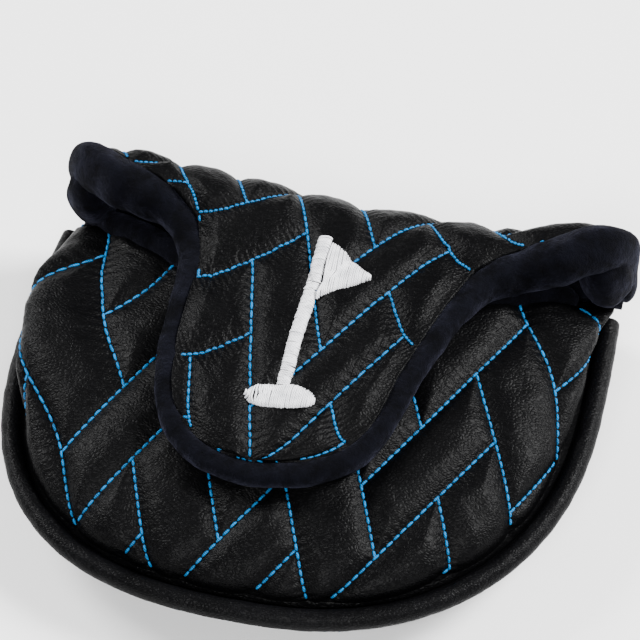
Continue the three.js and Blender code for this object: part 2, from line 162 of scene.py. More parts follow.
def opening_y(x):
    share = (np.hypot(x, 10) - 10) / np.where(x < 0, 51, 48.6)
    return 14 + 24.4 * share ** np.where(x < 0, 1.25, 0.98)


def dome_z(rho, edge_z, depth):
    rise = np.maximum(0, 1 - np.minimum(rho, 1) ** DOME_POWER) ** (1 / DOME_POWER)
    return edge_z + (DOME_TOP_Z - depth - edge_z) * rise


RIM_T = np.linspace(0, 1, 4001)
RIM_X, RIM_Y = raw_outline(RIM_T)
RIM_BEARING = np.arctan2(RIM_Y - DOME_Y, RIM_X)[::-1]
RIM_RADIUS = np.hypot(RIM_X, RIM_Y - DOME_Y)[::-1]
RIM_SEAM = seam_z(RIM_Y)[::-1]


def dome_polar(x, y):
    y_in = np.minimum(y, CORNER_Y - 0.2)
    bearing = np.arctan2(y_in - DOME_Y, x)
    radius = np.interp(bearing, RIM_BEARING, RIM_RADIUS)
    return np.hypot(x, y_in - DOME_Y) / radius, radius, np.interp(bearing, RIM_BEARING, RIM_SEAM), bearing


def top_height(x, y):
    rho, _, edge, _ = dome_polar(x, y)
    return dome_z(rho, edge + SEAM_ROOM, 0)


def top_surface(t, v, depth):
    """Top panel: v is 0 on the opening edge and 1 on the seam."""
    x, y, _, _ = outline(t, depth)
    low = np.zeros_like(x)
    high = np.ones_like(x)
    for _ in range(30):
        middle = (low + high) / 2
        past = DOME_Y + (y - DOME_Y) * middle < opening_y(x * middle)
        high = np.where(past, middle, high)
        low = np.where(past, low, middle)
    start = np.minimum(high, 0.962)
    angle = np.arccos(start ** (DOME_POWER / 2)) * (1 - v)
    rho = np.cos(angle) ** (2 / DOME_POWER)
    return np.stack([x * rho, DOME_Y + (y - DOME_Y) * rho, dome_z(rho, seam_z(y) + SEAM_ROOM, depth)], -1)


def sole_surface(u, v, depth):
    """Sole panel: u runs round the outline and back to the wall, v is 1 on the seam."""
    run = 0.06
    back_y = WALL_Y - depth - 0.15
    t = np.clip((u - run) / (1 - 2 * run), 0, 1)
    x, edge_y, _, _ = outline(t, depth)
    past = np.maximum(0, np.maximum(1 - u / run, 1 - (1 - u) / run))
    y = edge_y + (back_y - edge_y) * past
    edge_z = seam_z(np.minimum(y, CORNER_Y)) - SEAM_ROOM
    bend = np.maximum(0, (v - FLAT_SHARE) / (1 - FLAT_SHARE))
    z = depth + (edge_z - depth) * (1 - np.sqrt(np.maximum(0, 1 - bend * bend)))
    return np.stack([x * v, back_y + (y - back_y) * v, z], -1)


def sole_height(x, depth):
    bend = np.maximum(0, (np.minimum(np.abs(x) / (corner_x(x) - depth), 1) - FLAT_SHARE) / (1 - FLAT_SHARE))
    edge_z = SEAM_CORNER_Z - SEAM_ROOM
    return depth + (edge_z - depth) * (1 - np.sqrt(np.maximum(0, 1 - bend * bend)))


def crest_z(x):
    return (look_up(FOLD_CREST, x - 3) + 2 * look_up(FOLD_CREST, x) + look_up(FOLD_CREST, x + 3)) / 4


def fold_radius(x):
    return FOLD_RADIUS - FOLD_TIGHTENING * (np.abs(x) / 60) ** 2


def panel_x(across, s):
    return look_up(PANEL_MIDDLE, s) + across * look_up(PANEL_HALF_WIDTH, s)


def long_panel(x, s, depth):
    """Face wall, fold and flap: one panel, s along it from the sole's edge to the tongue's tip."""
    x, s = np.broadcast_arrays(np.asarray(x, float), np.asarray(s, float))
    crest = crest_z(x)
    radius = fold_radius(x)
    turn = np.clip((s - WALL_LENGTH) / ARC_LENGTH, 0, 1) * np.pi / 2
    arc_end = WALL_Y - radius
    y_top = arc_end + (TIP_Y - arc_end) * (s - WALL_LENGTH - ARC_LENGTH) / TOP_LENGTH
    lie = top_height(x, y_top) + FLAP_LIE
    z_top = crest + (lie - crest) * smooth((arc_end - y_top) / 13)
    over_panel = smooth((opening_y(x) + 6 - y_top) / 6)
    z_top = z_top + over_panel * np.maximum(0, lie - z_top)
    on_wall = s < WALL_LENGTH
    on_arc = (s >= WALL_LENGTH) & (s < WALL_LENGTH + ARC_LENGTH)
    y_arc = WALL_Y - radius + (radius - depth) * np.cos(turn)
    z_arc = crest - radius + (radius - depth) * np.sin(turn)
    y = np.where(on_wall, WALL_Y - depth, np.where(on_arc, y_arc, y_top))
    z = np.where(on_wall, (crest - radius) * (s / WALL_LENGTH), np.where(on_arc, z_arc, z_top - depth))
    return np.stack([x, y, z], -1)


# ---- fabric coordinates ----
LAY_SPAN = 60.0
# How each panel's leather lies on the lattice. The shift, and the drifts that its seams have one span
# out, are in mm: sideways, in the corners, and lengthwise. The pull along and down it has no unit.
TOP_LAY = {"shift": (52, -21.5), "along": (1, 0), "down": (0, 1),
           "sideways": (0.5, -3), "corners": (3, 4), "lengthwise": (3.5, -1.5)}
FLAP_LAY = {"shift": (5, 29.5), "along": (1.1, 0.16), "down": (-0.07, 1.18),
            "sideways": (-5.5, 2), "corners": (6, 5.5), "lengthwise": (2, 4.5)}


def fabric(lay, x, y):
    """A place on the flattened leather, turned into a place on the lattice."""
    u = x / LAY_SPAN
    v = y / LAY_SPAN
    weights = {"shift": 1 + 0 * u, "along": x, "down": y,
               "sideways": u * u, "corners": u * v, "lengthwise": v * v}
    return sum(weight[..., None] * np.array(lay[name], float) for name, weight in weights.items())


def top_fabric(points):
    """The dome is flattened by laying out each ray from its middle at its true length."""
    rho, radius, edge, bearing = dome_polar(points[..., 0], points[..., 1])
    steps = np.linspace(0, 1, 60)
    length = np.zeros_like(rho)
    last_z = dome_z(np.zeros_like(rho), edge + SEAM_ROOM, 0)
    for low, high in zip(steps[:-1], steps[1:]):
        z = dome_z(rho * high, edge + SEAM_ROOM, 0)
        length += np.hypot(rho * radius * (high - low), z - last_z)
        last_z = z
    return fabric(TOP_LAY, length * np.cos(bearing), length * np.sin(bearing) + DOME_Y)


def path_length(points):
    """Distance along axis 1 of a grid of points."""
    steps = np.linalg.norm(np.diff(points, axis=1), axis=-1)
    return np.concatenate([np.zeros((len(points), 1)), np.cumsum(steps, axis=1)], axis=1)


def seams(reach):
    """Every lattice line near the panel: (start, end) in fabric millimetres."""
    lines = []
    for q in range(-reach, reach + 1):
        for p in range(-reach, reach + 1):
            if (p + 1 + q) % PERIOD == 0:
                lines.append((p * STEEP + q * SLANT, (p + RUN) * STEEP + q * SLANT))
            if (q - 1 + p) % PERIOD == 0:
                lines.append((p * STEEP + q * SLANT, p * STEEP + (q + RUN) * SLANT))
    return lines


def seam_distance(cloth, lines):
    """Distance to the nearest line, and the place along it."""
    best = np.full(cloth.shape[:-1], 1e3)
    along = np.zeros_like(best)
    for start, end in lines:
        span = end - start
        length = np.linalg.norm(span)
        share = np.clip(((cloth - start) @ span) / length ** 2, 0, 1)
        gap = np.linalg.norm(cloth - start - share[..., None] * span, axis=-1)
        near = gap < best
        best = np.where(near, gap, best)
        along = np.where(near, share * length, along)
    return best, along


def wave_noise(points, size, seed, octaves=3):
    """Smooth noise about zero from a few crossing waves, the same every run."""
    rng = np.random.default_rng(seed)
    total = np.zeros(points.shape[:-1])
    for octave in range(octaves):
        for _ in range(7):
            direction = unit(rng.normal(size=3)) * (2 * np.pi / size) * 2 ** octave * rng.uniform(0.7, 1.3)
            total += np.sin(points @ direction + rng.uniform(0, 6.28)) / 2 ** octave
    return total / 6


# ---- meshes ----
def make_object(name, points, faces, material, smooth_shade=True):
    mesh = bpy.data.meshes.new(name)
    mesh.from_pydata((np.asarray(points) * MM).tolist(), [], faces)
    mesh.validate()
    if smooth_shade:
        mesh.polygons.foreach_set("use_smooth", [True] * len(mesh.polygons))
    mesh.update()
    mesh.materials.append(material)
    piece = bpy.data.objects.new(name, mesh)
    bpy.context.scene.collection.objects.link(piece)
    return piece


def grid_faces(rows, columns, offset, flip):
    i, j = np.meshgrid(np.arange(rows - 1), np.arange(columns - 1), indexing="ij")
    a = offset + (i * columns + j).ravel()
    quads = np.stack([a, a + columns, a + columns + 1, a + 1], -1)
    return (quads[:, ::-1] if flip else quads).tolist()


def closed_slab(name, outer, inner, material, flip=False):
    """One closed body between two grids of points."""
    rows, columns = outer.shape[:2]
    count = rows * columns
    faces = grid_faces(rows, columns, 0, flip) + grid_faces(rows, columns, count, not flip)
    border = list(range(columns))
    border += [i * columns + columns - 1 for i in range(1, rows)]
    border += [(rows - 1) * columns + j for j in range(columns - 2, -1, -1)]
    border += [i * columns for i in range(rows - 2, 0, -1)]
    for a, b in zip(border, border[1:] + border[:1]):
        quad = [a, b, b + count, a + count]
        faces.append(quad[::-1] if flip else quad)
    points = np.concatenate([outer.reshape(-1, 3), inner.reshape(-1, 3)])
    piece = make_object(name, points, faces, material)
    return weld(piece)


def weld(piece, distance=1e-6):
    work = bmesh.new()
    work.from_mesh(piece.data)
    bmesh.ops.remove_doubles(work, verts=work.verts, dist=distance)
    bmesh.ops.dissolve_degenerate(work, edges=work.edges, dist=distance)
    bmesh.ops.recalc_face_normals(work, faces=work.faces)
    work.to_mesh(piece.data)
    work.free()
    return piece


def grid_normals(points):
    du = np.gradient(points, axis=0)
    dv = np.gradient(points, axis=1)
    return unit(np.cross(du, dv))


def sweep(name, origins, a_axes, b_axes, sections, material):
    """Closed tube: each station has an origin, two axes and its own ring of section points."""
    stations, count = sections.shape[:2]
    points = (origins[:, None] + sections[..., :1] * a_axes[:, None] + sections[..., 1:] * b_axes[:, None])
    faces = []
    for i in range(stations - 1):
        for j in range(count):
            k = (j + 1) % count
            faces.append([i * count + j, i * count + k, (i + 1) * count + k, (i + 1) * count + j])
    faces.append(list(range(count))[::-1])
    faces.append([(stations - 1) * count + j for j in range(count)])
    return weld(make_object(name, points.reshape(-1, 3), faces, material))


# ---- materials ----
def linear(code):
    """sRGB hex to a linear colour."""
    parts = [int(code[i:i + 2], 16) / 255 for i in (1, 3, 5)]
    return [c / 12.92 if c <= 0.04045 else ((c + 0.055) / 1.055) ** 2.4 for c in parts] + [1.0]


def add_node(tree, kind, settings=None, links=None):
    """Adds a node; settings name its sockets or properties, links name the sockets that feed it."""
    made = tree.nodes.new(kind)
    for name, value in (settings or {}).items():
        if isinstance(name, int) or name in made.inputs:
            made.inputs[name].default_value = value
        else:
            setattr(made, name, value)
    for name, source in (links or {}).items():
        tree.links.new(source, made.inputs[name])
    return made


def start_material(name):
    material = bpy.data.materials.new(name)
    material.use_nodes = True
    tree = material.node_tree
    shader = tree.nodes["Principled BSDF"]
    place = add_node(tree, "ShaderNodeTexCoord").outputs["Object"]
    return material, tree, shader, place


def set_ramp(ramp, stops):
    elements = ramp.color_ramp.elements
    while len(elements) < len(stops):
        elements.new(0.5)
    for element, (position, colour) in zip(elements, stops):
        element.position = position
        element.color = colour


def repeats(size_mm):
    """Texture scale for a feature of this many millimetres."""
    return 1 / (size_mm * MM)


def tumbled_leather(name, grain_mm, shades, wrinkle):
    """Drum-tumbled black cowhide with a thin semi-matt finish: small pebbles drawn out into fine
    wrinkles, painted shade darkening the valleys between them, and a broad soft sheen on the pebbles' tops."""
    material, tree, shader, place = start_material(name)
    shader.inputs["Specular IOR Level"].default_value = 0.055
    drift = add_node(tree, "ShaderNodeTexNoise", {"Scale": repeats(4.17), "Detail": 2.0}, {"Vector": place})
    bent = add_node(tree, "ShaderNodeMixRGB", {"blend_type": "LINEAR_LIGHT", "Fac": 0.0009},
                    {"Color1": place, "Color2": drift.outputs["Color"]})
    drawn = add_node(tree, "ShaderNodeMapping", {"Scale": (0.62, 1.0, 1.0)},
                     {"Vector": bent.outputs["Color"]})
    valley = add_node(tree, "ShaderNodeTexVoronoi",
                      {"feature": "DISTANCE_TO_EDGE", "Scale": repeats(grain_mm)},
                      {"Vector": drawn.outputs["Vector"]})
    pebble = add_node(tree, "ShaderNodeMapRange", {"From Max": 0.34, "interpolation_type": "SMOOTHSTEP"},
                      {"Value": valley.outputs["Distance"]})
    fold = add_node(tree, "ShaderNodeTexNoise", {"Scale": repeats(1.92), "Detail": 3.0, "Roughness": 0.6},
                    {"Vector": drawn.outputs["Vector"]})
    pore = add_node(tree, "ShaderNodeTexNoise", {"Scale": repeats(0.278), "Detail": 1.0}, {"Vector": place})
    height = add_node(tree, "ShaderNodeMath", {"operation": "MULTIPLY_ADD", 1: wrinkle},
                      {0: fold.outputs["Fac"], 2: pebble.outputs["Result"]})
    height = add_node(tree, "ShaderNodeMath", {"operation": "MULTIPLY_ADD", 1: 0.15},
                      {0: pore.outputs["Fac"], 2: height.outputs["Value"]})
    bump = add_node(tree, "ShaderNodeBump", {"Strength": 0.5, "Distance": 0.13 * MM},
                    {"Height": height.outputs["Value"]})
    tree.links.new(bump.outputs["Normal"], shader.inputs["Normal"])
    blotch = add_node(tree, "ShaderNodeTexNoise", {"Scale": repeats(16.7), "Detail": 4.0}, {"Vector": place})
    colour = add_node(tree, "ShaderNodeValToRGB", {}, {"Fac": blotch.outputs["Fac"]})
    set_ramp(colour, [(0.3, linear(shades[0])), (0.7, linear(shades[1]))])
    # the base colour is multiplied by the pebble mask, so the grain's valleys get painted shade
    painted_valley_shade = add_node(tree, "ShaderNodeMixRGB", {"blend_type": "MULTIPLY", "Fac": 0.5},
                    {"Color1": colour.outputs["Color"], "Color2": pebble.outputs["Result"]})
    tree.links.new(painted_valley_shade.outputs["Color"], shader.inputs["Base Color"])
    rough = add_node(tree, "ShaderNodeMapRange", {"To Min": 0.36, "To Max": 0.5},
                     {"Value": blotch.outputs["Fac"]})
    tree.links.new(rough.outputs["Result"], shader.inputs["Roughness"])
    return material


def velour(name, shades):
    """Short-pile knitted velour: almost black, with a bluish bloom where the pile is seen edge on,
    and faint streaks where it has been brushed one way or the other."""
    material, tree, shader, place = start_material(name)
    shader.inputs["Roughness"].default_value = 0.95
    shader.inputs["Specular IOR Level"].default_value = 0.05
    shader.inputs["Sheen Roughness"].default_value = 0.42
    shader.inputs["Sheen Tint"].default_value = linear("#7d7f9c")
    pile = add_node(tree, "ShaderNodeTexNoise", {"Scale": repeats(0.667), "Detail": 4.0, "Roughness": 0.75},
                    {"Vector": place})
    brushed = add_node(tree, "ShaderNodeTexNoise", {"Scale": repeats(5.26), "Detail": 5.0, "Roughness": 0.7},
                       {"Vector": place})
    colour = add_node(tree, "ShaderNodeValToRGB", {}, {"Fac": brushed.outputs["Fac"]})
    set_ramp(colour, [(0.32, linear(shades[0])), (0.72, linear(shades[1]))])
    speck = add_node(tree, "ShaderNodeMixRGB", {"blend_type": "MULTIPLY", "Fac": 0.6},
                     {"Color1": colour.outputs["Color"], "Color2": pile.outputs["Fac"]})
    tree.links.new(speck.outputs["Color"], shader.inputs["Base Color"])
    bloom = add_node(tree, "ShaderNodeMapRange",
                     {"From Min": 0.4, "From Max": 0.62, "To Min": 0.02, "To Max": 0.17},
                     {"Value": brushed.outputs["Fac"]})
    tree.links.new(bloom.outputs["Result"], shader.inputs["Sheen Weight"])
    height = add_node(tree, "ShaderNodeMath", {"operation": "MULTIPLY_ADD", 1: 0.5},
                      {0: pile.outputs["Fac"], 2: brushed.outputs["Fac"]})
    bump = add_node(tree, "ShaderNodeBump", {"Strength": 0.9, "Distance": 0.7 * MM},
                    {"Height": height.outputs["Value"]})
    tree.links.new(bump.outputs["Normal"], shader.inputs["Normal"])
    return material


def embroidery_thread(name, shades, roughness, sheen, gloss):
    """Twisted polyester thread: a silky gloss along the filaments, a tone that varies at random, and
    painted shade in the gaps between the plies.
    """
    material, tree, shader, place = start_material(name)
    shader.inputs["Roughness"].default_value = roughness
    shader.inputs["Specular IOR Level"].default_value = gloss
    shader.inputs["Sheen Weight"].default_value = sheen
    shader.inputs["Sheen Roughness"].default_value = 0.35
    plies = add_node(tree, "ShaderNodeTexWave",
                     {"Scale": repeats(1.11), "Distortion": 2.0, "Detail": 1.0,
                      "bands_direction": "DIAGONAL"}, {"Vector": place})
    tone = add_node(tree, "ShaderNodeTexNoise", {"Scale": repeats(2.38), "Detail": 2.0}, {"Vector": place})
    # a random tone with the plies' relief mixed in: painted shade in the gaps between the plies
    tone_and_ply_shade = add_node(tree, "ShaderNodeMath", {"operation": "MULTIPLY_ADD", 1: 0.35},
                     {0: plies.outputs["Fac"], 2: tone.outputs["Fac"]})
    colour = add_node(tree, "ShaderNodeValToRGB", {}, {"Fac": tone_and_ply_shade.outputs["Value"]})
    set_ramp(colour, [(0.35, linear(shades[0])), (0.85, linear(shades[1]))])
    tree.links.new(colour.outputs["Color"], shader.inputs["Base Color"])
    bump = add_node(tree, "ShaderNodeBump", {"Strength": 0.4, "Distance": 0.08 * MM},
                    {"Height": plies.outputs["Fac"]})
    tree.links.new(bump.outputs["Normal"], shader.inputs["Normal"])
    return material


def nickel_plate(name):
    """Nickel-plated neodymium: bright, slightly grey, with faint handling marks."""
    material, tree, shader, place = start_material(name)
    shader.inputs["Base Color"].default_value = linear("#b9bbbe")
    shader.inputs["Metallic"].default_value = 1.0
    marks = add_node(tree, "ShaderNodeTexNoise", {"Scale": repeats(1.43), "Detail": 4.0}, {"Vector": place})
    rough = add_node(tree, "ShaderNodeMapRange", {"To Min": 0.2, "To Max": 0.4},
                     {"Value": marks.outputs["Fac"]})
    tree.links.new(rough.outputs["Result"], shader.inputs["Roughness"])
    return material


def twisted_cord(name):
    """Undyed cotton piping cord, matt with a spiral of strands and painted shade in the grooves between
    them.
    """
    material, tree, shader, place = start_material(name)
    shader.inputs["Roughness"].default_value = 0.9
    strands = add_node(tree, "ShaderNodeTexWave",
                       {"Scale": repeats(3.85), "Distortion": 1.0, "bands_direction": "DIAGONAL"},
                       {"Vector": place})
    # the colour follows the strands' relief: painted shade in the grooves between them
    colour = add_node(tree, "ShaderNodeValToRGB", {}, {"Fac": strands.outputs["Fac"]})
    set_ramp(colour, [(0.2, linear("#a89f8b")), (0.8, linear("#d9d2c1"))])
    tree.links.new(colour.outputs["Color"], shader.inputs["Base Color"])
    bump = add_node(tree, "ShaderNodeBump", {"Strength": 0.6, "Distance": 0.3 * MM},
                    {"Height": strands.outputs["Fac"]})
    tree.links.new(bump.outputs["Normal"], shader.inputs["Normal"])
    return material


PANEL_LEATHER = tumbled_leather("tumbled_cowhide", 0.66, ("#040405", "#080809"), 0.8)
PIPING_LEATHER = tumbled_leather("piping_cowhide", 0.6, ("#050506", "#08080a"), 0.5)
NAVY_VELOUR = velour("short_pile_velour", ("#020204", "#090a12"))
BLUE_THREAD = embroidery_thread("blue_polyester_thread", ("#00395f", "#006ba6"), 0.55, 0.0, 0.15)
SILVER_THREAD = embroidery_thread("silver_satin_thread", ("#b9babf", "#eeeef1"), 0.38, 0.25, 0.5)
NICKEL = nickel_plate("nickel_plated_magnet")
COTTON = twisted_cord("cotton_cord")


# ---- quilted panels ----
def search_tree(plan):
    tree = KDTree(len(plan))
    for index, (x, y) in enumerate(plan):
        tree.insert((x, y, 0), index)
    tree.balance()
    return tree


class Panel:
    """A quilted skin: its grid of points, normals and fabric coordinates, for placing stitches."""

    def __init__(self, flat, cloth, edge, seed, puff=PUFF):
        self.cloth = cloth
        self.lines = seams(9)
        gap, along = seam_distance(cloth, self.lines)
        reach = np.clip(gap / TILE_REACH, 0, 1)
        crown = 1 - (1 - reach) ** 2.3
        # the skin stays low where it is sewn down at the panel's own edge
        crown *= 1 - (1 - smooth(edge / 5.0)) * 0.55
        pucker = np.exp(-gap / 2.2) * np.sin(2 * np.pi * along / STITCH_PITCH) * 0.14
        creases = wave_noise(flat, 9.0, seed) * 0.22 * smooth(gap / 3)
        bulge = wave_noise(flat, 30.0, seed + 1, 2) * 0.35
        lift = puff * (crown - 0.75) + pucker + creases * crown + bulge * 0.5
        normals = grid_normals(flat)
        if np.mean((normals * (flat - flat.mean(axis=(0, 1)))).sum(-1)) < 0:
            normals = -normals
        self.points = flat + normals * lift[..., None]
        self.normals = grid_normals(self.points)
        self.normals *= np.sign((self.normals * normals).sum(-1, keepdims=True))
        self.edge = edge
        self.step_u = np.stack(np.gradient(self.points, axis=(0, 1)), -1)
        self.step_cloth = np.stack(np.gradient(cloth, axis=(0, 1)), -1)
        self.finder = search_tree(cloth.reshape(-1, 2))

    def place(self, targets):
        """Points, normals and edge distances for fabric coordinates; None where off the panel."""
        found = []
        for target in targets:
            nearest = self.finder.find((*target, 0))[1]
            i, j = np.unravel_index(nearest, self.cloth.shape[:2])
            move = target - self.cloth[i, j]
            jacobian = self.step_cloth[i, j]
            if abs(np.linalg.det(jacobian)) < 1e-6 or np.linalg.norm(move) > 1.2:
                found.append(None)
                continue
            shift = np.clip(np.linalg.solve(jacobian, move), -0.8, 0.8)
            point = self.points[i, j] + self.step_u[i, j] @ shift
            found.append((point, self.normals[i, j], self.edge[i, j]))
        return found


def thread_mesh(stitches, radius, around=6):
    """Short rounded stitches, each from a start to an end over an arched middle."""
    points = []
    faces = []
    for start, end, normal in stitches:
        along = end - start
        length = np.linalg.norm(along)
        if length < 0.2:
            continue
        along = along / length
        side = unit(np.cross(along, normal))
        up = np.cross(side, along)
        base = len(points)
        profile = ((0.0, 0.30, -0.35), (0.12, 0.80, -0.05), (0.32, 1.0, 0.12), (0.68, 1.0, 0.12),
                   (0.88, 0.80, -0.05), (1.0, 0.30, -0.35))
        for share, width, rise in profile:
            centre = start + along * length * share + up * rise * radius * 1.4
            for k in range(around):
                angle = 2 * np.pi * k / around
                offset = side * np.cos(angle) * 1.05 + up * np.sin(angle) * 0.85
                points.append(centre + offset * radius * width)
        rings = len(profile)
        for r in range(rings - 1):
            for k in range(around):
                m = (k + 1) % around
                a = base + r * around
                faces.append([a + k, a + m, a + around + m, a + around + k])
        faces.append([base + k for k in range(around)][::-1])
        faces.append([base + (rings - 1) * around + k for k in range(around)])
    return points, faces


def sew(name, panel, margin):
    """The blue quilting stitches of one panel."""
    stitches = []
    for start, end in panel.lines:
        span = end - start
        length = np.linalg.norm(span)
        direction = span / length
        count = int(length // STITCH_PITCH)
        pitch = length / count
        half = STITCH_LENGTH / 2
        centres = [start + direction * pitch * (k + 0.5) for k in range(count)]
        near = [c for c in centres if panel.finder.find((*c, 0))[2] < 1.5]
        if not near:
            continue
        heads = panel.place([c - direction * half for c in near])
        tails = panel.place([c + direction * half for c in near])
        for head, tail in zip(heads, tails):
            if head is None or tail is None or min(head[2], tail[2]) < margin:
                continue
            normal = unit(head[1] + tail[1])
            stitches.append((head[0] + normal * 0.12, tail[0] + normal * 0.12, normal))
    points, faces = thread_mesh(stitches, THREAD_R)
    return make_object(name, points, faces, BLUE_THREAD)


def edge_distance(points, rims):
    """Distance from each grid point to the nearest of the panel's sewn rims."""
    best = np.full(points.shape[:-1], 1e3)
    for rim in rims:
        for start in range(0, len(rim), 8):
            part = rim[start:start + 8]
            gap = np.linalg.norm(points[:, :, None] - part[None, None], axis=-1).min(-1)
            best = np.minimum(best, gap)
    return best


# ---- top panel ----
TOE_BULGE = 4.2
HEEL_BULGE = 9.0


def heel_side(x, y):
    return smooth((-x - 40) / 15) * smooth((y + 36) / 28) * (1 - 0.72 * smooth((y - 10) / 24))


def build_top_panel():
    t, v = np.meshgrid(np.linspace(0, 1, 400), np.linspace(0, 1, 120), indexing="ij")
    flat = top_surface(t, v, 0)
    span = path_length(flat)
    edge = np.minimum(span, span[:, -1:] - span)
    panel = Panel(flat, top_fabric(flat), edge, 11)
    panel.points[:, -1] = flat[:, -1]
    # towards both back corners the padding bulges out over the piping
    toe = smooth((flat[:, -1:, 0] - 40) / 15) * smooth((flat[:, -1:, 1] + 15) / 40)
    low = np.sin(np.pi * smooth((v - 0.1) / 0.9)) ** 1.2
    heel = heel_side(flat[:, -1:, 0], flat[:, -1:, 1])
    panel.points[..., 0] += (TOE_BULGE * toe - HEEL_BULGE * heel) * low
    panel.points[..., 2] += 0.25 * (TOE_BULGE * toe + HEEL_BULGE * heel) * low
    inner = top_surface(t, v, PANEL_BACK)
    piece = closed_slab("top_panel", panel.points, inner, PANEL_LEATHER)
    threads = sew("top_panel_stitches", panel, 1.5)
    return piece, threads


def build_top_lining():
    t, v = np.meshgrid(np.linspace(0, 1, 140), np.linspace(0, 1, 40), indexing="ij")
    outer = top_surface(t, v, LINING[0])
    inner = top_surface(t, v, LINING[1])
    inner = inner + grid_normals(inner) * (wave_noise(inner, 22.0, 5) * 0.25)[..., None]
    return closed_slab("top_lining_cloth", outer, inner, NAVY_VELOUR)


# ---- sole and the foot of the wall ----
FOOT_TOP = 15.4
FOOT_HALF = 61.4
FOOT_START_Y = 43.5
FOOT_CORNER_R = 3.2


def sole_fabric(points):
    return fabric(FLAP_LAY, points[..., 0], points[..., 1] - WALL_Y + 30)


def build_sole_panel():
    u, k = np.meshgrid(np.linspace(0, 1, 300), np.linspace(0, 1, 110), indexing="ij")
    v = np.where(k < 0.5, k / 0.5 * FLAT_SHARE, FLAT_SHARE + (1 - FLAT_SHARE) * np.sin((k - 0.5) * np.pi))
    flat = sole_surface(u, v, 0)
    flat[..., 1] = np.minimum(flat[..., 1], FOOT_START_Y)
    span = path_length(flat)
    panel = Panel(flat, sole_fabric(flat), span[:, -1:] - span, 21, puff=0.8)
    # it rests on its tiles, so nothing reaches below the floor
    panel.points[..., 2] = np.maximum(panel.points[..., 2] + 0.15, 0.0)
    panel.points[:, -1] = flat[:, -1]
    inner = sole_surface(u, v, PANEL_BACK)
    inner[..., 1] = np.minimum(inner[..., 1], FOOT_START_Y - 0.1)
    piece = closed_slab("sole_panel", panel.points, inner, PANEL_LEATHER)
    threads = sew("sole_panel_stitches", panel, 1.5)
    return piece, threads


def build_sole_lining():
    u, k = np.meshgrid(np.linspace(0, 1, 120), np.linspace(0, 1, 40), indexing="ij")
    upturn = FLAT_SHARE + (1 - FLAT_SHARE) * np.sin((k - 0.4) / 0.6 * np.pi / 2)
    v = np.where(k < 0.4, k / 0.4 * FLAT_SHARE, upturn)
    outer = sole_surface(u, v, LINING[0])
    inner = sole_surface(u, v, LINING[1])
    inner[..., 2] += wave_noise(inner, 22.0, 6) * 0.2
    return closed_slab("sole_lining_cloth", outer, inner, NAVY_VELOUR)


def foot_surface(x, k, depth):
    """From the back of the sole (k = -1) round the corner and up the wall (k = 1)."""
    base = sole_height(x, 0)
    rise = np.maximum(FOOT_TOP - base, 0.3)
    corner = FOOT_CORNER_R
    turn = np.clip(k, 0, 1)
    y_run = WALL_Y - corner - (WALL_Y - corner - FOOT_START_Y) * np.clip(-k, 0, 1)
    angle = np.clip(turn / 0.35, 0, 1) * np.pi / 2
    y = np.where(k < 0, y_run, WALL_Y - corner + (corner - depth) * np.sin(angle))
    bend = np.minimum(corner, rise)
    low = base + bend - (bend - depth) * np.cos(angle)
    high = np.clip((turn - 0.35) / 0.65, 0, 1) * (rise - bend)
    z = np.where(k < 0, base + depth, low + high)
    return np.stack([x + 0 * k, y, z], -1)


def build_wall_foot():
    c, k = np.meshgrid(np.linspace(-1, 1, 200), np.linspace(-1, 1, 60), indexing="ij")
    x = c * FOOT_HALF
    flat = foot_surface(x, k, 0)
    span = path_length(flat)
    cloth = fabric(FLAP_LAY, x, 30.0 - span + 4.5)
    edge = np.minimum((1 - np.abs(c)) * 62, 6.0)
    panel = Panel(flat, cloth, edge, 31, puff=0.8)
    panel.points[..., 2] = np.maximum(panel.points[..., 2], 0.0)
    inner = foot_surface(x, k, 3.0)
    piece = closed_slab("wall_foot_panel", panel.points, inner, PANEL_LEATHER)
    threads = sew("wall_foot_stitches", panel, 1.2)
    return piece, threads


# ---- wall and flap ----
def wall_start(x):
    return FOOT_TOP / ((crest_z(x) - fold_radius(x)) / WALL_LENGTH)


def flap_grid(columns, rows, depth):
    c, k = np.meshgrid(np.linspace(-1, 1, columns), np.linspace(0, 1, rows), indexing="ij")
    k = 1 - (1 - k) ** 1.15
    start = wall_start(c * WALL_HALF)
    s = start + (FLAP_END - start) * k
    return long_panel(panel_x(c, s), s, depth), s


def flap_fabric(points):
    """Length down the flap is counted from the top of the wall."""
    span = path_length(points)
    wall_top = WALL_Y - 1e-3
    on_wall = points[..., 1] > wall_top
    start = np.where(on_wall, span, 0).max(axis=1, keepdims=True)
    return fabric(FLAP_LAY, points[..., 0], start - span)


def build_flap_panel():
    flat, _ = flap_grid(260, 230, 0)
    rim = np.concatenate([flat[0], flat[-1][::-1]])
    edge = edge_distance(flat, [rim[::2]])
    panel = Panel(flat, flap_fabric(flat), edge, 41)
    inner, _ = flap_grid(260, 230, PANEL_BACK)
    piece = closed_slab("flap_panel", panel.points, inner, PANEL_LEATHER)
    threads = sew("flap_panel_stitches", panel, 0.6)
    return piece, threads, panel


def build_flap_lining():
    outer, _ = flap_grid(120, 110, LINING[0])
    inner, _ = flap_grid(120, 110, LINING[1])
    return closed_slab("flap_lining_cloth", outer, inner, NAVY_VELOUR)


# ---- velour rolls ----
EAR_SIZE = (6.0, 6.5, 8.5)
EAR_PLACE = (59.0, 40.5, 28.5)


def smooth_path(points, passes):
    points = points.copy()
    for _ in range(passes):
        points[1:-1] = points[1:-1] * 0.5 + (points[:-2] + points[2:]) * 0.25
    return points


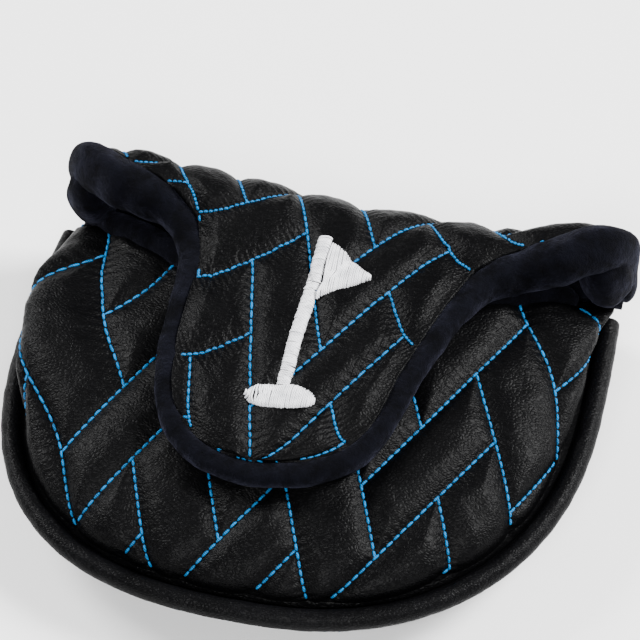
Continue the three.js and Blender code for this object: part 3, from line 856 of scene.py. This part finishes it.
def roll(name, path, normals, reach, half, overlap, seed, around=28, drop=0.0):
    """A soft rolled edge: its section swells outward from the panel's rim."""
    tangent = unit(np.gradient(path, axis=0))
    outward = unit(np.cross(tangent, normals))
    up = unit(np.cross(outward, tangent))
    up *= np.sign((up * normals).sum(-1, keepdims=True))
    angle = np.linspace(0, 2 * np.pi, around, endpoint=False)
    reach = np.broadcast_to(reach, len(path))[:, None]
    half = np.broadcast_to(half, len(path))[:, None]
    round_path = path[:, None] + outward[:, None] * np.cos(angle)[None, :, None] * 6
    flesh = 1 + 0.1 * wave_noise(round_path, 11.0, seed)
    wide = np.sign(np.cos(angle)) * np.abs(np.cos(angle)) ** 0.85
    tall = np.sign(np.sin(angle)) * np.abs(np.sin(angle)) ** 0.85
    a = (reach - overlap) / 2 + (reach + overlap) / 2 * wide * flesh
    b = half * tall * flesh
    taper = np.ones(len(path))
    taper[0] = taper[-1] = 0.25
    taper[1] = taper[-2] = 0.72
    taper[2] = taper[-3] = 0.92
    b = b - np.broadcast_to(drop, len(path))[:, None]
    sections = np.stack([a, b], -1) * taper[:, None, None]
    return sweep(name, path, outward, up, sections, NAVY_VELOUR)


def resample(points, spacing):
    steps = np.linalg.norm(np.diff(points, axis=0), axis=1)
    length = np.concatenate([[0], np.cumsum(steps)])
    stations = np.linspace(0, length[-1], int(length[-1] / spacing) + 1)
    return np.stack([np.interp(stations, length, points[:, k]) for k in range(3)], -1)


def build_flap_roll():
    ends = []
    for side in (-1, 1):
        start = wall_start(side * WALL_HALF) + 0.5
        s = start + (FLAP_END - start) * (1 - (1 - np.linspace(0, 1, 240)) ** 1.6)
        x = panel_x(side, s)
        middle = long_panel(x, s, MID_DEPTH)
        step = 0.4
        along = long_panel(x, s + step, MID_DEPTH) - long_panel(x, s - step, MID_DEPTH)
        across = long_panel(x + step, s, MID_DEPTH) - long_panel(x - step, s, MID_DEPTH)
        normal = unit(np.cross(along, across))
        normal = -normal if normal[-1, 2] < 0 else normal
        shape = np.stack([look_up(ROLL_REACH, s), look_up(ROLL_HALF, s), look_up(ROLL_DROP, s)], -1)
        row = np.concatenate([middle, normal, shape], axis=1)
        ends.append(row if side == -1 else row[::-1][1:])
    rows = np.concatenate(ends)
    steps = np.linalg.norm(np.diff(rows[:, :3], axis=0), axis=1)
    length = np.concatenate([[0], np.cumsum(steps)])
    stations = np.linspace(0, length[-1], int(length[-1] / 1.3) + 1)
    rows = np.stack([np.interp(stations, length, rows[:, k]) for k in range(9)], -1)
    rows = smooth_path(rows, 6)
    return roll("flap_edge_roll", rows[:, :3], unit(rows[:, 3:6]), rows[:, 6], rows[:, 7], 1.1, 51,
                drop=rows[:, 8])


def build_opening_roll():
    """Its heel end stands out past the corner, where the lining is turned over the seam."""
    t = np.linspace(0, 1, 300)
    path = top_surface(t, np.zeros_like(t), MID_DEPTH)
    heel_end = path[-1] + np.array([[-1.5, 0.7, 0.0], [-3.5, 1.4, -0.3], [-5.0, 1.8, -0.8]])
    path = resample(np.concatenate([path, heel_end]), 1.2)
    path = smooth_path(path, 5)
    path[:, 2] += 0.9
    normals = np.tile([0.0, 0.0, 1.0], (len(path), 1))
    return roll("opening_edge_roll", path, normals, 4.6, 3.6, 1.6, 61, around=24)


def build_side_roll(side):
    y = np.linspace(37.2, 46.6, 12)
    x = side * (corner_x(side) - 0.3) + 0 * y
    path = resample(np.stack([x, y, np.full_like(y, SEAM_CORNER_Z - 1.2)], -1), 1.0)
    normals = np.tile([0.0, 0.0, 1.0], (len(path), 1))
    if side < 0:
        path = path[::-1]
    name = "side_roll_toe" if side > 0 else "side_roll_heel"
    return roll(name, path, normals, 1.8, 2.4, 4.0, 71, around=18)


def build_ear(side):
    """The lining bunched up in the corner of the fold."""
    turn, tilt = np.meshgrid(np.linspace(0, 2 * np.pi, 49), np.linspace(0, np.pi, 26), indexing="ij")
    ball = np.stack([np.cos(turn) * np.sin(tilt), np.sin(turn) * np.sin(tilt), np.cos(tilt)], -1)
    ball = ball * (1 + 0.09 * wave_noise(ball * 6, 8.0, 91)[..., None])
    ball[-1] = ball[0]
    points = ball * np.array(EAR_SIZE) + np.array([side * EAR_PLACE[0], EAR_PLACE[1], EAR_PLACE[2]])
    name = "ear_toe" if side > 0 else "ear_heel"
    return weld(make_object(name, points.reshape(-1, 3), grid_faces(49, 26, 0, True), NAVY_VELOUR), 1e-5)


# ---- piping ----
def build_piping():
    t = np.linspace(0.006, 0.994, 420)
    x, y, nx, ny = outline(t, 0)
    origins = np.stack([x, y, seam_z(y)], -1)
    outward = np.stack([nx, ny, 0 * nx], -1)
    up = np.tile([0.0, 0.0, 1.0], (len(t), 1))
    neck = math.radians(166)
    ring = np.linspace(-neck, neck, 30)
    circle = np.stack([np.cos(ring), np.sin(ring)], -1)
    dents = wave_noise(origins[:, None] + circle[None] @ np.array([[3.0, 0, 0], [0, 0, 3.0]]), 5.0, 81)
    run = np.cumsum(np.hypot(np.gradient(x), np.gradient(y)))
    gathers = 1 + 0.028 * dents + 0.012 * np.sin(run / 1.1)[:, None]
    tube = circle[None] * (PIPING_R * gathers)[..., None] + np.array([PIPING_OUT, 0])
    count = len(t)
    flange_top = np.tile([-PIPING_FLANGE[0], PIPING_FLANGE[1]], (count, 1, 1))
    flange_low = np.tile([-PIPING_FLANGE[0], -PIPING_FLANGE[1]], (count, 1, 1))
    sections = np.concatenate([tube, flange_top, flange_low], axis=1)
    return sweep("piping", origins, outward, up, sections, PIPING_LEATHER)


# ---- embroidered pin flag ----
EMBLEM_PLACE = np.array([-2.0, 6.0])
SATIN_PITCH = 0.42
SATIN_THREAD = (0.24, 0.20)      # half width and half height
POLE_ENDS = (-17.6, 23.0)
POLE_WIDTH = 3.0
PENNANT_Y = 14.2
PENNANT_HALF = 8.4
PENNANT_START = 1.9
PENNANT_POINT = 12.9
GREEN_Y = -20.6
GREEN_HALF = (7.8, 3.3)


def emblem_place(panel, tree, targets):
    """Points of the quilted skin above targets in plan, with its normals."""
    points = panel.points.reshape(-1, 3)
    normals = panel.normals.reshape(-1, 3)
    found = []
    for target in targets:
        nearest = tree.find_n((*target, 0), 6)
        weight = np.array([1 / (0.05 + gap) for _, _, gap in nearest])
        weight /= weight.sum()
        index = [i for _, i, _ in nearest]
        height = (points[index, 2] * weight).sum()
        found.append((np.array([*target, height]), unit((normals[index] * weight[:, None]).sum(0))))
    return found


def satin_rows(centre_line, widths, pitch):
    """Pairs of end points of satin threads laid across a stroke."""
    steps = np.linalg.norm(np.diff(centre_line, axis=0), axis=1)
    length = np.concatenate([[0], np.cumsum(steps)])
    stations = np.arange(pitch / 2, length[-1], pitch)
    x = np.interp(stations, length, centre_line[:, 0])
    y = np.interp(stations, length, centre_line[:, 1])
    width = np.interp(stations, length, widths)
    middle = np.stack([x, y], -1)
    tangent = unit(np.gradient(middle, axis=0))
    across = np.stack([-tangent[:, 1], tangent[:, 0]], -1)
    return [(m - a * w / 2, m + a * w / 2) for m, a, w in zip(middle, across, width)]


def build_emblem(panel):
    plan = np.where(panel.normals[..., 2:] > 0.3, panel.points[..., :2], 1e3).reshape(-1, 2)
    tree = search_tree(plan)
    rows = []
    pole = np.array([(0.0, POLE_ENDS[0]), (0.0, POLE_ENDS[1])])
    rows += satin_rows(pole, [POLE_WIDTH, POLE_WIDTH], SATIN_PITCH)
    # the pennant is filled with threads that shorten towards its point
    for x in np.arange(PENNANT_START, PENNANT_POINT - 0.5, SATIN_PITCH):
        half = PENNANT_HALF * (PENNANT_POINT - x) / 11.3
        middle = PENNANT_Y + 0.5 * math.sin(x / PENNANT_POINT * 6.0)
        rows.append((np.array([x, middle - half]), np.array([x, middle + half])))
    # the green at its foot is a filled oval
    for x in np.arange(0.2 - GREEN_HALF[0], GREEN_HALF[0] - 0.1, SATIN_PITCH):
        half = GREEN_HALF[1] * math.sqrt(1 - (x / GREEN_HALF[0]) ** 2)
        rows.append((np.array([x, GREEN_Y - half]), np.array([x, GREEN_Y + half])))
    points = []
    faces = []
    rng = np.random.default_rng(7)
    for low, high in rows:
        low = low + EMBLEM_PLACE + rng.normal(0, 0.06, 2)
        high = high + EMBLEM_PLACE + rng.normal(0, 0.06, 2)
        shares = np.array([0.0, 0.1, 0.3, 0.5, 0.7, 0.9, 1.0])
        lift = np.array([0.0, 0.42, 0.68, 0.75, 0.68, 0.42, 0.0])
        path = [low + (high - low) * share for share in shares]
        placed = emblem_place(panel, tree, path)
        ground = np.mean([p[2] for p, _ in placed])
        base = len(points)
        direction = unit(np.append(high - low, 0.0))
        for (point, normal), rise in zip(placed, lift):
            side = unit(np.cross(direction, normal))
            centre = np.array([point[0], point[1], 0.5 * point[2] + 0.5 * ground]) + normal * (rise + 0.1)
            for k in range(6):
                angle = 2 * np.pi * k / 6
                offset = side * SATIN_THREAD[0] * np.cos(angle) + normal * SATIN_THREAD[1] * np.sin(angle)
                points.append(centre + offset)
        for r in range(len(shares) - 1):
            for k in range(6):
                m = (k + 1) % 6
                a = base + r * 6
                faces.append([a + k, a + m, a + 6 + m, a + 6 + k])
        faces.append([base + k for k in range(6)][::-1])
        faces.append([base + (len(shares) - 1) * 6 + k for k in range(6)])
    return make_object("embroidered_flag", points, faces, SILVER_THREAD)


# ---- assemble ----
top_panel, top_threads = build_top_panel()
top_lining = build_top_lining()
sole_panel, sole_threads = build_sole_panel()
sole_lining = build_sole_lining()
wall_foot, foot_threads = build_wall_foot()
flap_panel, flap_threads, flap_skin = build_flap_panel()
flap_lining = build_flap_lining()
flap_roll = build_flap_roll()
opening_roll = build_opening_roll()
side_rolls = [build_side_roll(1), build_side_roll(-1)]
ears = [build_ear(1), build_ear(-1)]
piping = build_piping()
emblem = build_emblem(flap_skin)

for piece in (top_panel, top_threads, top_lining, sole_panel, sole_threads, sole_lining, opening_roll,
              piping, *side_rolls):
    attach(piece, "pouch")
for piece in (wall_foot, foot_threads):
    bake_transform(piece)
for piece in (flap_panel, flap_threads, flap_lining, flap_roll, *ears):
    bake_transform(piece)
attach(emblem, "flap")

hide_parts("top_leather", "top_foam")
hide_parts("top_lining")
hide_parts("top_edge_roll")
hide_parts("sole_leather", "sole_foam")
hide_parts("sole_lining")
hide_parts("piping_cover")
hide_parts("wall_leather", "wall_foam", "flap_leather", "flap_foam")
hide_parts("wall_lining", "flap_lining")
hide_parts("flap_roll", "wall_roll_toe", "wall_roll_heel")
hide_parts("flap_emblem")

CAD_FINISHES = {"piping_cord": COTTON, "seam_tape": NAVY_VELOUR, "top_magnet_toe": NICKEL,
                "top_magnet_heel": NICKEL, "flap_magnet_toe": NICKEL, "flap_magnet_heel": NICKEL}
for node_name, finish in CAD_FINISHES.items():
    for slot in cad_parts[node_name].material_slots:
        slot.material = finish


# ---- floor, light and camera ----
FLOOR_HALF = 3000


def floor_material():
    """Matt pale board."""
    material, tree, shader, place = start_material("pale_board")
    shader.inputs["Roughness"].default_value = 0.9
    mottle = add_node(tree, "ShaderNodeTexNoise", {"Scale": repeats(33.3), "Detail": 3.0}, {"Vector": place})
    colour = add_node(tree, "ShaderNodeValToRGB", {}, {"Fac": mottle.outputs["Fac"]})
    set_ramp(colour, [(0.3, linear("#fbfbfb")), (0.7, linear("#fdfdfd"))])
    tree.links.new(colour.outputs["Color"], shader.inputs["Base Color"])
    return material


FLOOR_CORNERS = [(-FLOOR_HALF, -FLOOR_HALF, 0), (FLOOR_HALF, -FLOOR_HALF, 0),
                 (FLOOR_HALF, FLOOR_HALF, 0), (-FLOOR_HALF, FLOOR_HALF, 0)]
floor = make_object("floor", FLOOR_CORNERS, [[0, 1, 2, 3]], floor_material(), False)
floor.location.z = -0.0002

world = bpy.data.worlds.new("studio")
world.use_nodes = True
world.node_tree.nodes["Background"].inputs["Color"].default_value = (1.0, 1.0, 1.0, 1.0)
world.node_tree.nodes["Background"].inputs["Strength"].default_value = 0.3
bpy.context.scene.world = world


def softbox(name, place, aim, width, height, watts):
    light = bpy.data.lights.new(name, "AREA")
    light.shape = "RECTANGLE"
    light.size = width
    light.size_y = height
    light.energy = watts
    lamp = bpy.data.objects.new(name, light)
    lamp.location = place
    lamp.rotation_euler = (Vector(aim) - Vector(place)).to_track_quat("-Z", "Y").to_euler()
    bpy.context.scene.collection.objects.link(lamp)


softbox("key", (0.75, 0.35, 0.75), (0, 0, 0.02), 0.45, 0.45, 36.0)
softbox("fill", (-0.75, 0.3, 0.6), (0, 0, 0.02), 0.4, 0.4, 15.0)
softbox("overhead", (0.1, -0.9, 0.9), (0, 0.0, 0.02), 0.5, 0.35, 19.0)

# the camera stands 0.9 m off, about 50 degrees up and 15 degrees to the toe side, tilted a little
CAMERA_AZIMUTH = 15.2
CAMERA_ELEVATION = 50.0
CAMERA_ROLL = -2.2
CAMERA_DISTANCE = 0.9
CAMERA_LENS = 230.85
AIM = Vector((0, 0, 0.02))
OFF_AIM = (0.00341, 0.01769)      # the aim point sits left of and below the middle of the frame


def place_camera():
    azimuth = math.radians(CAMERA_AZIMUTH)
    elevation = math.radians(CAMERA_ELEVATION)
    roll_angle = math.radians(CAMERA_ROLL)
    back = Vector((math.sin(azimuth) * math.cos(elevation), -math.cos(azimuth) * math.cos(elevation),
                   math.sin(elevation)))
    level = Vector((math.cos(azimuth), math.sin(azimuth), 0))
    upright = back.cross(level)
    right = math.cos(roll_angle) * level + math.sin(roll_angle) * upright
    above = -math.sin(roll_angle) * level + math.cos(roll_angle) * upright
    position = AIM + back * CAMERA_DISTANCE
    ahead = (right * OFF_AIM[0] + above * OFF_AIM[1] - back).normalized()
    side = (right - ahead * right.dot(ahead)).normalized()
    top = side.cross(ahead)
    data = bpy.data.cameras.new("camera")
    data.sensor_width = 36.0
    data.lens = CAMERA_LENS
    camera = bpy.data.objects.new("camera", data)
    turn = Matrix((side, top, -ahead)).transposed()
    camera.matrix_world = Matrix.Translation(position) @ turn.to_4x4()
    bpy.context.scene.collection.objects.link(camera)
    bpy.context.scene.camera = camera


place_camera()
